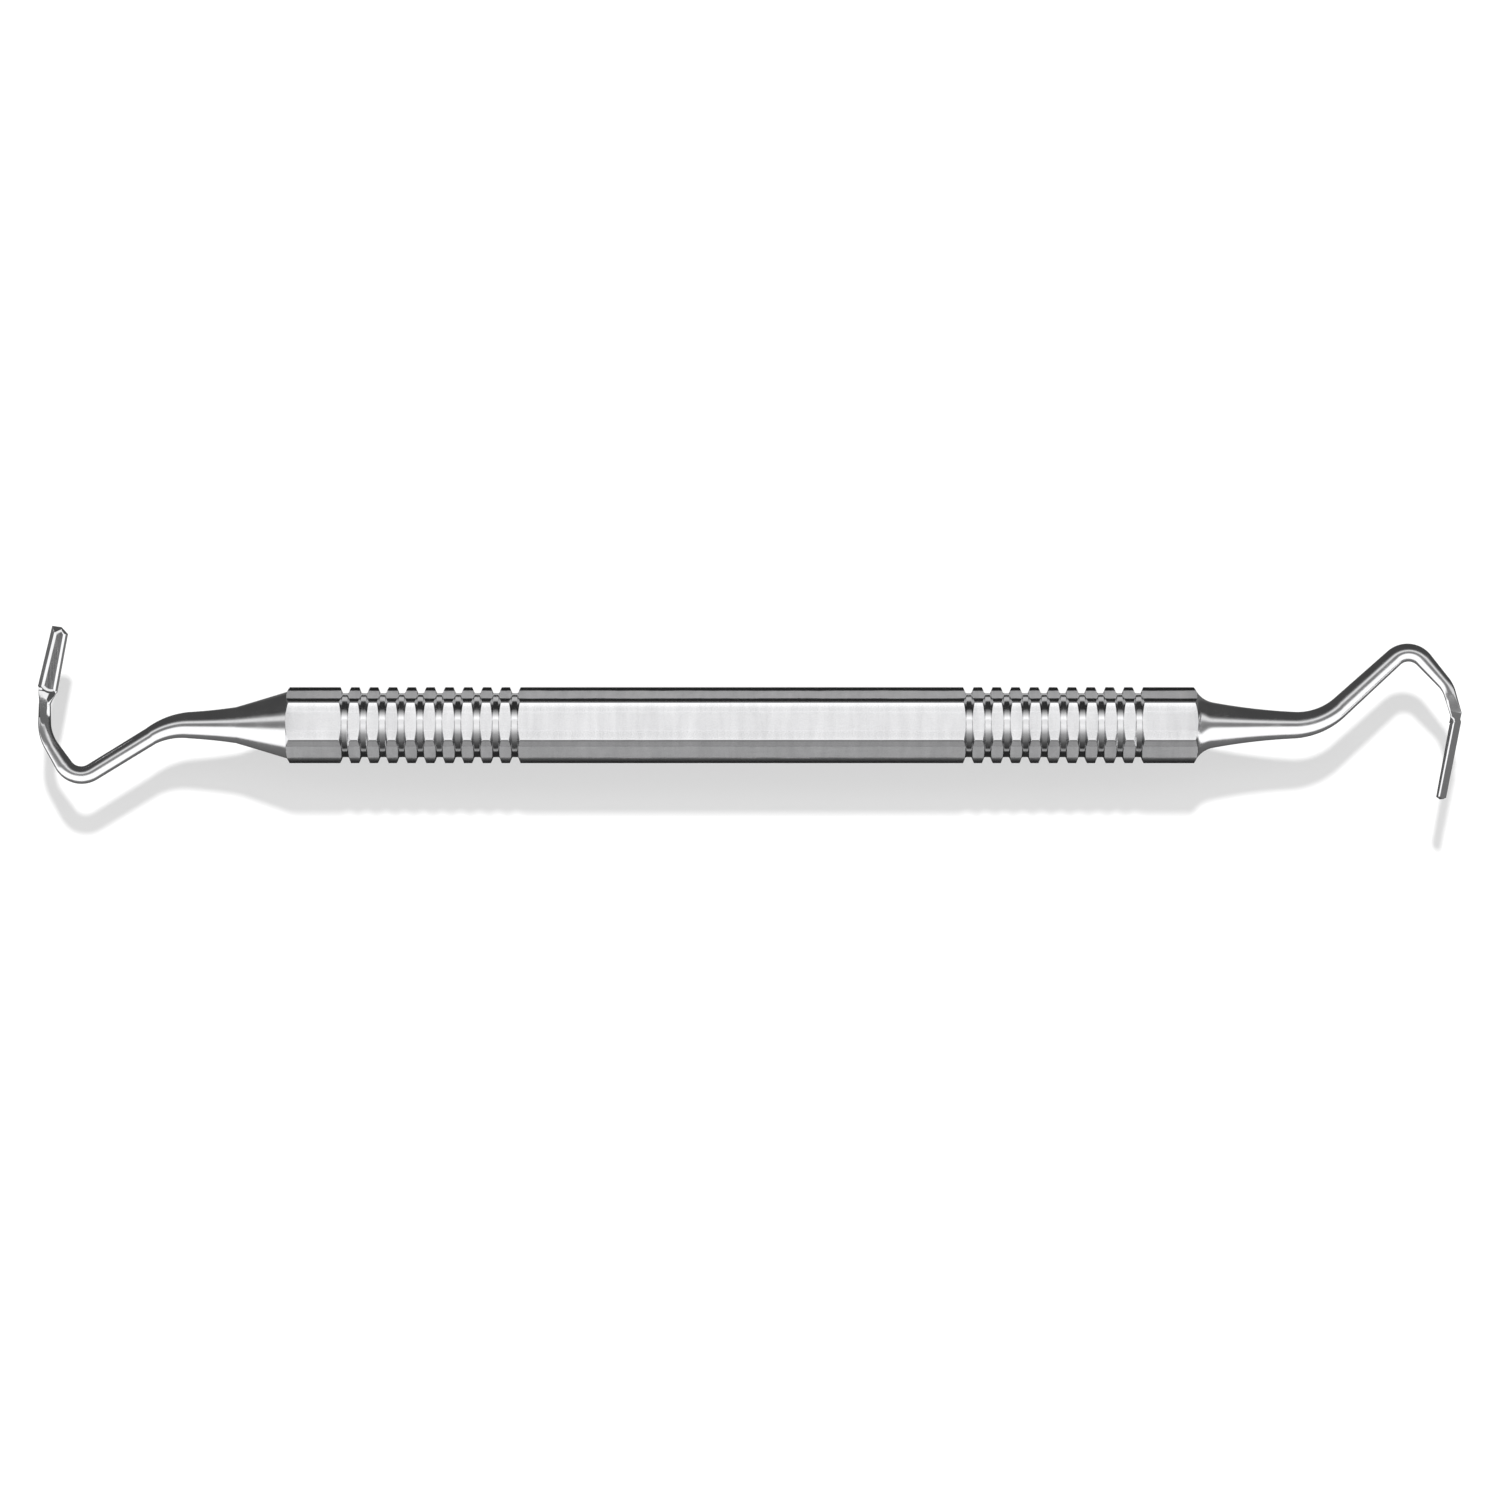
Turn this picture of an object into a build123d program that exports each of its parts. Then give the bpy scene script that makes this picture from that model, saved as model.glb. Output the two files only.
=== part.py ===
from build123d import *

import os
from dataclasses import dataclass
from math import cos, radians, sin, sqrt, tan

# Double-ended dental hand scaler, in millimetres.
#
# The handle's axis runs along X and lies AXIS_HEIGHT above the surface that one of its six
# flats rests on. The origin is on that surface, under the middle of the handle.
#
# Both ends have the same build, so each is drawn in an end frame: the handle's axis is the
# line y = z = 0, x grows outwards from the handle's middle, and z points up. The right end is
# that frame as it stands and the left end is it turned half round about Z.

# ---- handle ----
ACROSS_FLATS = 8.0
HANDLE_LENGTH = 109.2
EDGE_ROUNDING = 0.2
END_FACE_DIAMETER = 8.0
END_CHAMFER_ANGLE = 30.0  # between the chamfer and the end face
BORE_DIAMETER = 5.5

GROOVES_PER_GRIP = 10
GROOVE_PITCH = 2.26
FIRST_GROOVE_FROM_MIDDLE = 27.2
GROOVE_ROOT_DIAMETER = 7.68
GROOVE_ROOT_WIDTH = 0.72
GROOVE_WALL_ANGLE = 21.0
GROOVE_ROOT_FILLET = 0.15

# ---- ferrules, which close the handle and hold the working ends ----
FERRULE_MOUTH_DIAMETER = END_FACE_DIAMETER
SPIGOT_LENGTH = 9.0
SPIGOT_LEAD_IN = 0.4
TANG_DIAMETER = 2.5
TANG_SHORT_OF_SPIGOT = 1.2
TANG_LEAD_IN = 0.3

# ---- blades ----
BLADE_LEAN = 11.3
BLADE_ROOT_WIDTH = 2.48
BLADE_TIP_WIDTH = 2.1
BLADE_WALL_HEIGHT = 0.6
BLADE_WALL_ANGLE = 30.0
BEVEL_WIDTH = 0.33
BEVEL_HEIGHT = 0.17
TIP_APEX_OFFSET = 0.1
NECK_INTO_BLADE = 0.25
NECK_END_WIDTH = 2.16
NECK_END_THICKNESS = 0.66

# ---- worked out from the above ----
AXIS_HEIGHT = ACROSS_FLATS / 2
CORNER_RADIUS = ACROSS_FLATS / sqrt(3)
HANDLE_END = HANDLE_LENGTH / 2
CLEAR_OF_CORNERS = CORNER_RADIUS + 0.5
BLADE_THICKNESS = BLADE_WALL_HEIGHT + BEVEL_HEIGHT
WALL_INSET = BLADE_WALL_HEIGHT * tan(radians(BLADE_WALL_ANGLE))


@dataclass
class BladeLevel:
    """The blade's outline at one height above its back.

    Roots and cuts are lengths along the blade: a root is where the outline begins, counted
    from the shoulder, and a cut is how far short of the blade's full length it ends. Each is
    given at the corner away from the handle, at the middle, and at the corner towards it.
    """

    height: float
    inset: float
    roots: tuple
    cuts: tuple


BACK = BladeLevel(height=0, inset=0, roots=(0.45, -0.3, 0.1), cuts=(0.1, 0, 0.65))
WALL_TOP = BladeLevel(
    height=BLADE_WALL_HEIGHT,
    inset=WALL_INSET,
    roots=(0.4, -0.25, 0.05),
    cuts=(0.9, 0.25, 0.8),
)
TABLE = BladeLevel(
    height=BLADE_THICKNESS,
    inset=WALL_INSET + BEVEL_WIDTH,
    roots=(0.6, 0.42, 0.5),
    cuts=(1.15, 0.72, 0.95),
)


@dataclass
class End:
    name: str
    ferrule_length: float
    waist_station: float  # how far beyond the handle's end the ferrule's hollow is measured
    waist_diameter: float
    seam_diameter: float  # where the ferrule meets the shank
    cone_station: float  # how far beyond the handle's end the shank's cone is measured
    cone_diameter: float
    corners: list  # where the straight runs of the shank's centreline would meet
    bend_radii: list
    diameters: list  # at the start of bend 1 and at the end of each bend and run after it
    neck_length: float  # from the last corner, the knee, to the blade's shoulder
    blade_length: float
    blade_hand: int  # -1 mirrors the blade from side to side
    tip_point: float  # how far the tip's corners fall back, as a share of the levels' cuts
    face_turn: float  # of the blade's face, from facing up round towards the handle, degrees


LEFT_END = End(
    name="left",
    ferrule_length=6.1,
    waist_station=3.0,
    waist_diameter=6.18,
    seam_diameter=4.34,
    cone_station=8.6,
    cone_diameter=3.7,
    corners=[(68.8, 0), (80.0, 6.95), (83.7, 1.2), (83.7, -2.5)],
    bend_radii=[8.7, 2.5, 5.4],
    diameters=[3.18, 2.18, 2.14, 2.08, 1.7, 1.54, 1.44],
    neck_length=1.6,
    blade_length=8.02,
    blade_hand=1,
    tip_point=1.0,
    face_turn=13.0,
)

RIGHT_END = End(
    name="right",
    ferrule_length=2.0,
    waist_station=0.8,
    waist_diameter=6.4,
    seam_diameter=5.44,
    cone_station=6.4,
    cone_diameter=4.1,
    corners=[(69.4, 0), (80.25, 9.85), (84.8, 4.6), (85.75, 1.3)],
    bend_radii=[8.3, 2.5, 3.6],
    diameters=[3.22, 2.52, 2.26, 2.06, 1.66, 1.5, 1.4],
    neck_length=0.8,
    blade_length=9.55,
    blade_hand=-1,
    tip_point=0.15,
    face_turn=74.0,
)


def hexagonal_bar():
    hexagon = Plane.YZ * RegularPolygon(CORNER_RADIUS, 6)
    section = fillet(hexagon.vertices(), EDGE_ROUNDING)
    return extrude(section, HANDLE_END, both=True)


def turned_envelope():
    """The solid that the lathe leaves: a bar with both ends chamfered."""
    face_radius = END_FACE_DIAMETER / 2
    chamfer = (CLEAR_OF_CORNERS - face_radius) * tan(radians(END_CHAMFER_ANGLE))
    right_half = [
        (HANDLE_END, 0),
        (HANDLE_END, face_radius),
        (HANDLE_END - chamfer, CLEAR_OF_CORNERS),
    ]
    left_half = [(-x, y) for x, y in reversed(right_half)]
    outline = make_face(Polyline(*right_half, *left_half, close=True))
    return revolve(outline, Axis.X)


def groove_ring():
    """What one turned groove takes away: a ring with sloping walls and a rounded root."""
    root_radius = GROOVE_ROOT_DIAMETER / 2
    root_half = GROOVE_ROOT_WIDTH / 2
    rise = CLEAR_OF_CORNERS - root_radius
    mouth_half = root_half + rise * tan(radians(GROOVE_WALL_ANGLE))
    outline = make_face(
        Polyline(
            (-root_half, root_radius),
            (root_half, root_radius),
            (mouth_half, CLEAR_OF_CORNERS),
            (-mouth_half, CLEAR_OF_CORNERS),
            close=True,
        )
    )
    root_corners = outline.vertices().sort_by(Axis.Y)[:2]
    return revolve(fillet(root_corners, GROOVE_ROOT_FILLET), Axis.X)


def groove_centres():
    one_grip = [
        FIRST_GROOVE_FROM_MIDDLE + number * GROOVE_PITCH
        for number in range(GROOVES_PER_GRIP)
    ]
    return [-x for x in reversed(one_grip)] + one_grip


def handle():
    """Hexagonal tube with a ring-grooved grip towards each end."""
    bore = Rot(0, 90, 0) * Cylinder(BORE_DIAMETER / 2, HANDLE_LENGTH)
    ring = groove_ring()
    rings = [Pos(x, 0, 0) * ring for x in groove_centres()]
    return (hexagonal_bar() & turned_envelope()) - bore - rings


def ferrule(end):
    """Turned collar: a concave cone outside the handle and a spigot inside its bore."""
    seam = HANDLE_END + end.ferrule_length
    spigot_radius = BORE_DIAMETER / 2
    spigot_end = HANDLE_END - SPIGOT_LENGTH
    tang_radius = TANG_DIAMETER / 2
    flank = ThreePointArc(
        (HANDLE_END, FERRULE_MOUTH_DIAMETER / 2),
        (HANDLE_END + end.waist_station, end.waist_diameter / 2),
        (seam, end.seam_diameter / 2),
    )
    rest = Polyline(
        (seam, end.seam_diameter / 2),
        (seam, tang_radius),
        (spigot_end, tang_radius),
        (spigot_end, spigot_radius - SPIGOT_LEAD_IN),
        (spigot_end + SPIGOT_LEAD_IN, spigot_radius),
        (HANDLE_END, spigot_radius),
        (HANDLE_END, FERRULE_MOUTH_DIAMETER / 2),
    )
    return revolve(make_face([flank, *rest.edges()]), Axis.X)


def blade_directions(end):
    """Unit vectors along the blade, across it and out of its face."""
    lean = radians(BLADE_LEAN)
    turn = radians(end.face_turn)
    along = Vector(-sin(lean), -cos(lean), 0)
    to_handle = Vector(-cos(lean), sin(lean), 0)
    facing = Vector(0, 0, 1) * cos(turn) + to_handle * sin(turn)
    return along, along.cross(facing), facing


def shank_path(end):
    """The centreline's spans from the seam to the knee: straight runs joined by arcs."""
    seam = HANDLE_END + end.ferrule_length
    path = FilletPolyline((seam, 0), *end.corners, radius=end.bend_radii)
    return Wire(path.edges()).order_edges()


def shank_cone(end, cone_end, end_diameter):
    """The straight part of the working end: its tang and the cone that grows out of it."""
    seam = HANDLE_END + end.ferrule_length
    tang_radius = TANG_DIAMETER / 2
    tang_end = HANDLE_END - SPIGOT_LENGTH + TANG_SHORT_OF_SPIGOT
    flank = ThreePointArc(
        (seam, end.seam_diameter / 2),
        (HANDLE_END + end.cone_station, end.cone_diameter / 2),
        (cone_end, end_diameter / 2),
    )
    rest = Polyline(
        (cone_end, end_diameter / 2),
        (cone_end, 0),
        (tang_end, 0),
        (tang_end, tang_radius - TANG_LEAD_IN),
        (tang_end + TANG_LEAD_IN, tang_radius),
        (seam, tang_radius),
        (seam, end.seam_diameter / 2),
    )
    return revolve(make_face([flank, *rest.edges()]), Axis.X)


def tapered_span(edge, start_diameter, end_diameter):
    """A round bar that follows one straight run or one arc and tapers along it."""
    sections = [
        Plane(origin=edge @ 0, z_dir=edge % 0) * Circle(start_diameter / 2),
        Plane(origin=edge @ 1, z_dir=edge % 1) * Circle(end_diameter / 2),
    ]
    return sweep(sections, path=edge, multisection=True)


def blade_outline(end, level):
    """Six-sided outline at one level: three corners at the root and three at the tip."""
    root_half = BLADE_ROOT_WIDTH / 2 - level.inset
    tip_half = BLADE_TIP_WIDTH / 2 - level.inset
    apex = TIP_APEX_OFFSET * end.blade_hand
    roots = zip((-root_half, 0, root_half), level.roots[:: end.blade_hand])
    tips = zip((-tip_half, apex, tip_half), level.cuts[:: end.blade_hand])
    tip_corners = [(x, end.blade_length - cut * end.tip_point) for x, cut in tips]
    return make_face(Polyline(*roots, *reversed(tip_corners), close=True))


def blade(end):
    """Flat back, sloping walls, and the ground bevel that frames the flat table."""
    levels = [
        Pos(0, 0, level.height - BLADE_THICKNESS / 2) * blade_outline(end, level)
        for level in (BACK, WALL_TOP, TABLE)
    ]
    return loft(levels, ruled=True)


def neck(end, knee_section, shoulder):
    """From round at the knee, the shank widens to an oval inside the blade's root."""
    along, across, _ = blade_directions(end)
    oval_plane = Plane(origin=shoulder + along * NECK_INTO_BLADE, x_dir=across, z_dir=along)
    oval = oval_plane * Ellipse(NECK_END_WIDTH / 2, NECK_END_THICKNESS / 2)
    return loft([knee_section, oval])


def working_end(end):
    """Tang, cone, bent shank and blade, forged and ground from one piece of steel."""
    straight, *spans = shank_path(end)
    body = shank_cone(end, (straight @ 1).X, end.diameters[0])
    for span, first, last in zip(spans, end.diameters, end.diameters[1:]):
        body = body.fuse(tapered_span(span, first, last))
    along, across, facing = blade_directions(end)
    knee = spans[-1] @ 1
    shoulder = knee + along * end.neck_length
    knee_plane = Plane(origin=knee, x_dir=across, z_dir=spans[-1] % 1)
    knee_section = knee_plane * Circle(end.diameters[-1] / 2)
    blade_plane = Plane(origin=shoulder, x_dir=across, z_dir=facing)
    return body.fuse(neck(end, knee_section, shoulder)).fuse(blade_plane * blade(end))


def write_step(name, shape):
    shape.label = name
    export_step(shape, os.path.join("parts", name + ".step"))


os.makedirs("parts", exist_ok=True)
lift = Pos(0, 0, AXIS_HEIGHT)
write_step("handle_tube", lift * handle())
for end, placing in ((LEFT_END, lift * Rot(0, 0, 180)), (RIGHT_END, lift)):
    write_step(end.name + "_ferrule", placing * ferrule(end))
    write_step(end.name + "_working_end", placing * working_end(end))
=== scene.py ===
from dataclasses import dataclass
from math import acos, asin, cos, pi, radians, sin, tan

import bmesh
import bpy
import numpy as np
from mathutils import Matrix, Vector


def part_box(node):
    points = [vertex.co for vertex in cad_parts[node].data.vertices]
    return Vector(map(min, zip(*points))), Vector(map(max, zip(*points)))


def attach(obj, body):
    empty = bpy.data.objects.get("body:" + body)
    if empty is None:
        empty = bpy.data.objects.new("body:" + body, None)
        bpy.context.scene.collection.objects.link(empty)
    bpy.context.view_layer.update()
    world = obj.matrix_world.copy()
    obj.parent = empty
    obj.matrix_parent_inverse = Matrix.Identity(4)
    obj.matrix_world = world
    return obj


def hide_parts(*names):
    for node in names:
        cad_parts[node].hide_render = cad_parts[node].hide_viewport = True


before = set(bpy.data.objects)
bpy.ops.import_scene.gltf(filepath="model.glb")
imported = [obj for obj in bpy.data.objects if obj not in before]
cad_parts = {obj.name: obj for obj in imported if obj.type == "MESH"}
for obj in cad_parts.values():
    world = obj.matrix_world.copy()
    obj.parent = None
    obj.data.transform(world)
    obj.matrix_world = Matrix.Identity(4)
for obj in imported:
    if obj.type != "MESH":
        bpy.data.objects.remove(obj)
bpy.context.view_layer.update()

# Looks of the double-ended hand scaler. Lengths below are in millimetres and become metres
# where a mesh or a light is made. The handle's axis runs along X, the blades reach to +Y at
# the left and to -Y at the right, and Z is up from the flat that the handle rests on.
MM = 0.001

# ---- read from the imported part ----
handle_low, handle_high = (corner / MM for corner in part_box("handle_tube"))
HANDLE_END = handle_high.x
ACROSS_FLATS = handle_high.z - handle_low.z
AXIS_HEIGHT = (handle_high.z + handle_low.z) / 2
LEFT_SEAM = -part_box("left_ferrule")[0].x / MM
RIGHT_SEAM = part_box("right_ferrule")[1].x / MM

# ---- handle ----
FLAT_RADIUS = ACROSS_FLATS / 2
EDGE_ROUNDING = 0.2
EDGE_CENTRE_RADIUS = (FLAT_RADIUS - EDGE_ROUNDING) / cos(radians(30))
EDGE_RADIUS = EDGE_CENTRE_RADIUS + EDGE_ROUNDING
FLAT_HALF_ANGLE = acos(FLAT_RADIUS / np.hypot(FLAT_RADIUS, EDGE_CENTRE_RADIUS / 2))
END_FACE_RADIUS = 4.0
END_CHAMFER_ANGLE = radians(30)
BORE_RADIUS = 2.75
GROOVES_PER_GRIP = 10
GROOVE_PITCH = 2.26
FIRST_GROOVE_FROM_MIDDLE = 27.2
GROOVE_ROOT_RADIUS = 3.84
GROOVE_ROOT_HALF = 0.36
GROOVE_WALL_ANGLE = radians(21)
GROOVE_ROOT_FILLET = 0.15
GROOVE_RIM_BREAK = 0.04
FLAT_STEPS = 10
ARC_STEPS = 16
LEAST_FLAT_ANGLE = radians(1.5)
WALL_STEPS = 8
FILLET_STEPS = 4
PLAIN_STEP = 1.0
HANDLE_CREASE = radians(20)
SATIN_NORMAL_TOLERANCE = radians(1)
SATIN_DEPTH_TOLERANCE = 0.01

# ---- ferrules and working ends ----
ROUND_STEPS = 96
HOLLOW_STEPS = 24
ROUND_CREASE = radians(30)
SPIGOT_LENGTH = 9.0
SPIGOT_LEAD_IN = 0.4
TANG_RADIUS = 1.25
TANG_SHORT_OF_SPIGOT = 1.2
TANG_LEAD_IN = 0.3
PATH_STEP = 0.2
SHANK_CREASE = radians(25)

# ---- blades ----
BLADE_LEAN = radians(11.3)
BLADE_ROOT_WIDTH = 2.48
BLADE_TIP_WIDTH = 2.1
BLADE_WALL_HEIGHT = 0.6
BLADE_THICKNESS = 0.77
WALL_INSET = BLADE_WALL_HEIGHT * tan(radians(30))
BEVEL_WIDTH = 0.33
TIP_APEX_OFFSET = 0.1
NECK_INTO_BLADE = 0.25
NECK_END_WIDTH = 2.2
NECK_END_SQUARENESS = 0.55
NECK_THIN_BY = 0.9  # share of the neck after which it is as thin as at its end
NECK_STEPS = 24
FLAT_LENGTH = 2.6  # of the ground flat before the knee
ROOT_CURVE_STEPS = 14
BEVEL_START_ANGLE = radians(46)
BEVEL_FINISH_ANGLE = radians(12)
BEVEL_STEPS = 7
BLADE_EDGE_BREAK = 0.02
SHARP_BLADE_EDGE = radians(12)
FACET_CREASE = radians(8)
TABLE_NORMAL_TOLERANCE = radians(2)
TABLE_LEAST_AREA = 1e-7  # in square metres

# ---- surfaces: the satin stops short of each flat's edges, which are rubbed bright ----
SATIN_HALF_WIDTH = 0.95
POLISHED_FROM = 1.35
BORDER_WANDER = radians(0.8)
STEEL = (0.8, 0.8, 0.81)
GROUND_STEEL = (0.62, 0.62, 0.63)
SATIN_METALLIC = 0.86
SATIN_ROUGHNESS = (0.42, 0.54)
RUBBED_ROUGHNESS = 0.1
POLISHED_ROUGHNESS = (0.08, 0.24)
SCRATCHED_FROM = 0.12
SCRATCHED_FULLY = 0.42
GROUND_ROUGHNESS = (0.15, 0.28)
SATIN_TINTS = ((0.68, 0.68, 0.69), (0.86, 0.86, 0.87))
POLISHED_TINTS = ((0.76, 0.76, 0.77), (0.84, 0.84, 0.85))
GROUND_TINTS = ((0.52, 0.52, 0.53), (0.7, 0.7, 0.71))
SATIN_BUMP = (0.15, 0.00002)  # strength, and height in metres
TURNING_BUMP = (0.08, 0.00001)
GRINDING_BUMP = (0.1, 0.00001)
NOISE_LOW = 0.3  # noise stays mostly between these
NOISE_HIGH = 0.7

# Noise frequencies per metre along X, Y and Z. A low one draws the pattern out that way.
BORDER_WAVES = (300, 900, 900)
SATIN_STREAKS = (900, 180, 180)
SATIN_GRAIN = (2500, 2500, 2500)
SATIN_SPECKS = (7000, 7000, 7000)
RUBBED_PATCHES = (400, 400, 400)
TURNED_LINES = (7000, 250, 250)
TURNED_SCRATCHES = (9000, 600, 600)
BLADE_GRAIN = (2500, 2500, 2500)
BLADE_SCRATCHES = (700, 9000, 9000)
GRINDING_LINES = (6000, 400, 6000)

# ---- studio ----
CAMERA_ELEVATION = radians(83.5)
CAMERA_DISTANCE = 1.0  # in metres
CAMERA_SEES_TO = 10  # in metres
SENSOR_WIDTH = 36
FRAME_WIDTH = 180.0
FRAME_CENTRE_X = 0.98
FRAME_CENTRE_Y = -3.0
SUN_ELEVATION = radians(57)
SUN_STRENGTH = 3.31
FLOOR_WHITE = (0.5, 0.5, 0.5)
FLOOR_GLOW = 0.4  # keeps the shadow as pale and even as on a light table
FLOOR_GAP = 3.9  # the object is held this far above the floor, so its shadow stands clear
FLOOR_HALF = 3.0  # in metres
SUN_SPREAD = radians(5.5)

# What the steel reflects far off: brightness against the direction a reflected ray leaves in,
# in degrees from straight up towards +Y.
FRONT_TO_BACK_BANDS = (
    (-180, 0.1),
    (-112, 0.18),
    (-98, 0.2),
    (-86, 1.3),
    (-24, 1.3),
    (-14, 0.3),
    (-4, 0.22),
    (6, 0.3),
    (13, 0.9),
    (22, 0.9),
    (31, 0.25),
    (42, 0.07),
    (130, 0.07),
    (150, 0.15),
    (180, 0.1),
)

# Light tents: a tube of light round a piece, which only reflections see, since studio lamps
# alone can't shape them. Brightness against the angle round the tube's axis, from straight up,
# towards +Y for the handle and towards +X for the blades.
TENT_STEPS = 180
TENT_REACH = 1.5  # how far it shines, as a multiple of its radius
HANDLE_TENT_RADIUS = 14.0
HANDLE_TENT_OVERHANG = 1.0
HANDLE_TENT_BANDS = (
    (-180, 0.03),
    (-106.5, 0.02),
    (-103.5, 0.02),
    (-102, 0.45),
    (-99, 0.36),
    (-92, 0.34),
    (-89, 0.02),
    (-65, 0.08),
    (-35, 0.38),
    (-15, 1.0),
    (-5, 1.1),
    (-3.5, 0.98),
    (12, 0.98),
    (13.5, 1.4),
    (19, 1.2),
    (28, 0.7),
    (38, 0.3),
    (46, 0.03),
    (76, 0.03),
    (82, 0.55),
    (101, 0.6),
    (105, 0.02),
    (118, 0.02),
    (122, 0.5),
    (140, 0.5),
    (146, 0.04),
    (180, 0.03),
)

# Tents along the blades. Each begins so far beyond its knee, or so far before the shoulder.
BLADE_TENT_RADIUS = 4.5
BLADE_TENT_OVERHANG = 1.5
KNEE_TENT_RADIUS = 4.9
KNEE_TENT_START = -1.7
NECK_TENT_START = 0.0
NECK_TENT_SHORT_BY = 0.1
LEFT_TENT_LEAD = 0.4
RIGHT_TENT_START = -0.2

# Each tent has two caps: the first is towards the knee and the second towards the tip. A cap's
# three brightnesses are for its upper part on the tent's own -Y side, its upper part on the +Y
# side, and the rest below. The split is the (Y, Z) point where the parts meet, counted from the
# tent's axis.
BLADE_CAP_SPLIT = (0.0, 1.2)
NECK_CAP_SPLIT = (0.3, 0.3)
LEFT_BLADE_CAPS = ((1.1, 1.1, 0.1), (1.1, 1.1, 0.1))
LEFT_NECK_CAPS = ((0.16, 0.16, 0.06), (1.1, 0.1, 0.1))
LEFT_KNEE_CAPS = ((0.16, 0.16, 0.06), (0.16, 0.16, 0.06))
RIGHT_BLADE_CAPS = ((0.19, 0.19, 0.19), (0.19, 0.19, 0.19))
LEFT_BLADE_TENT_BANDS = (
    (-180, 0.15),
    (-86, 0.15),
    (-75, 1.2),
    (-14, 1.2),
    (4, 0.2),
    (12, 0.22),
    (34, 0.22),
    (42, 1.3),
    (102, 1.3),
    (110, 0.2),
    (180, 0.2),
)
LEFT_KNEE_TENT_BANDS = (
    (-180, 0.05),
    (-100, 0.1),
    (-60, 0.16),
    (60, 0.16),
    (100, 0.05),
    (180, 0.05),
)
LEFT_NECK_TENT_BANDS = (
    (-180, 0.05),
    (-100, 0.1),
    (-60, 0.16),
    (20, 0.16),
    (34, 0.2),
    (44, 1.3),
    (100, 1.3),
    (112, 0.1),
    (180, 0.05),
)
RIGHT_BLADE_TENT_BANDS = (
    (-180, 0.1),
    (-128, 0.1),
    (-121, 1.3),
    (-72, 1.3),
    (-62, 0.19),
    (60, 0.19),
    (100, 0.08),
    (180, 0.05),
)


@dataclass
class BladeLevel:
    """The blade's outline at one height above its back.

    Roots are where the outline begins and cuts are how far short of the blade's length it
    ends, at the corner away from the handle, at the middle and at the corner towards it.
    """

    height: float
    inset: float
    roots: tuple
    cuts: tuple


BLADE_LEVELS = (
    BladeLevel(0, 0, (0.45, -0.3, 0.1), (0.1, 0, 0.65)),
    BladeLevel(BLADE_WALL_HEIGHT, WALL_INSET, (0.4, -0.25, 0.05), (0.9, 0.25, 0.8)),
    BladeLevel(BLADE_THICKNESS, WALL_INSET + BEVEL_WIDTH, (0.6, 0.42, 0.5), (1.15, 0.72, 0.95)),
)


@dataclass
class End:
    """One end in its own frame: x grows outwards along the handle's axis, z is up."""

    name: str
    outwards: int  # which way this end's x and y axes point in the shared frame
    seam: float  # where the ferrule meets the shank
    waist: tuple  # station and radius of the ferrule's hollow
    seam_radius: float
    cone: tuple  # station and radius half way along the shank's cone
    corners: list  # where the straight runs of the shank's centreline would meet
    bend_radii: list
    diameters: list  # at the start of bend 1 and at the end of each bend and run after it
    neck_length: float
    blade_length: float
    blade_hand: int  # -1 mirrors the blade from side to side
    tip_point: float  # how far the tip's corners fall back, as a share of the levels' cuts
    face_turn: float  # of the blade's face, from facing up round towards the handle
    neck_end: tuple  # thickness at the blade, and its drop towards the blade's back
    flat_tilt: float  # of the flat ground on the knee, from facing up
    flat_heading: float  # which way it tilts, from outwards round towards +y
    flat_depth: float
    flat_rise: float  # from the knee to the blade


LEFT_END = End(
    name="left",
    outwards=-1,
    seam=LEFT_SEAM,
    waist=(HANDLE_END + 3.0, 3.09),
    seam_radius=2.17,
    cone=(HANDLE_END + 8.6, 1.85),
    corners=[(68.8, 0), (80.0, 6.95), (83.7, 1.2), (83.7, -2.5)],
    bend_radii=[8.7, 2.5, 5.4],
    diameters=[3.18, 2.18, 2.14, 2.08, 1.7, 1.54, 1.44],
    neck_length=1.6,
    blade_length=8.02,
    blade_hand=1,
    tip_point=1.0,
    face_turn=radians(13),
    neck_end=(0.56, 0.09),
    flat_tilt=radians(14),
    flat_heading=radians(20),
    flat_depth=0.17,
    flat_rise=0.0,
)

RIGHT_END = End(
    name="right",
    outwards=1,
    seam=RIGHT_SEAM,
    waist=(HANDLE_END + 0.8, 3.2),
    seam_radius=2.72,
    cone=(HANDLE_END + 6.4, 2.05),
    corners=[(69.4, 0), (80.25, 9.85), (84.8, 4.6), (85.75, 1.3)],
    bend_radii=[8.3, 2.5, 3.6],
    diameters=[3.22, 2.52, 2.26, 2.06, 1.66, 1.5, 1.4],
    neck_length=0.8,
    blade_length=9.55,
    blade_hand=-1,
    tip_point=0.15,
    face_turn=radians(74),
    neck_end=(0.8, 0.0),
    flat_tilt=radians(5),
    flat_heading=radians(-60),
    flat_depth=0.3,
    flat_rise=0.7,
)


# ------------------------------------------------------------------ mesh helpers


def skin(rings, closed):
    """Vertices and quads of a surface through equal rings; open skins get flat end caps."""
    around = len(rings[0])
    points = np.concatenate(rings)
    pairs = list(zip(range(len(rings) - 1), range(1, len(rings))))
    if closed:
        pairs.append((len(rings) - 1, 0))
    faces = []
    for first, second in pairs:
        for step in range(around):
            after = (step + 1) % around
            faces.append((
                first * around + step,
                first * around + after,
                second * around + after,
                second * around + step,
            ))
    if not closed:
        last = (len(rings) - 1) * around
        faces.append(tuple(reversed(range(around))))
        faces.append(tuple(range(last, last + around)))
    return points, faces


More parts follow.
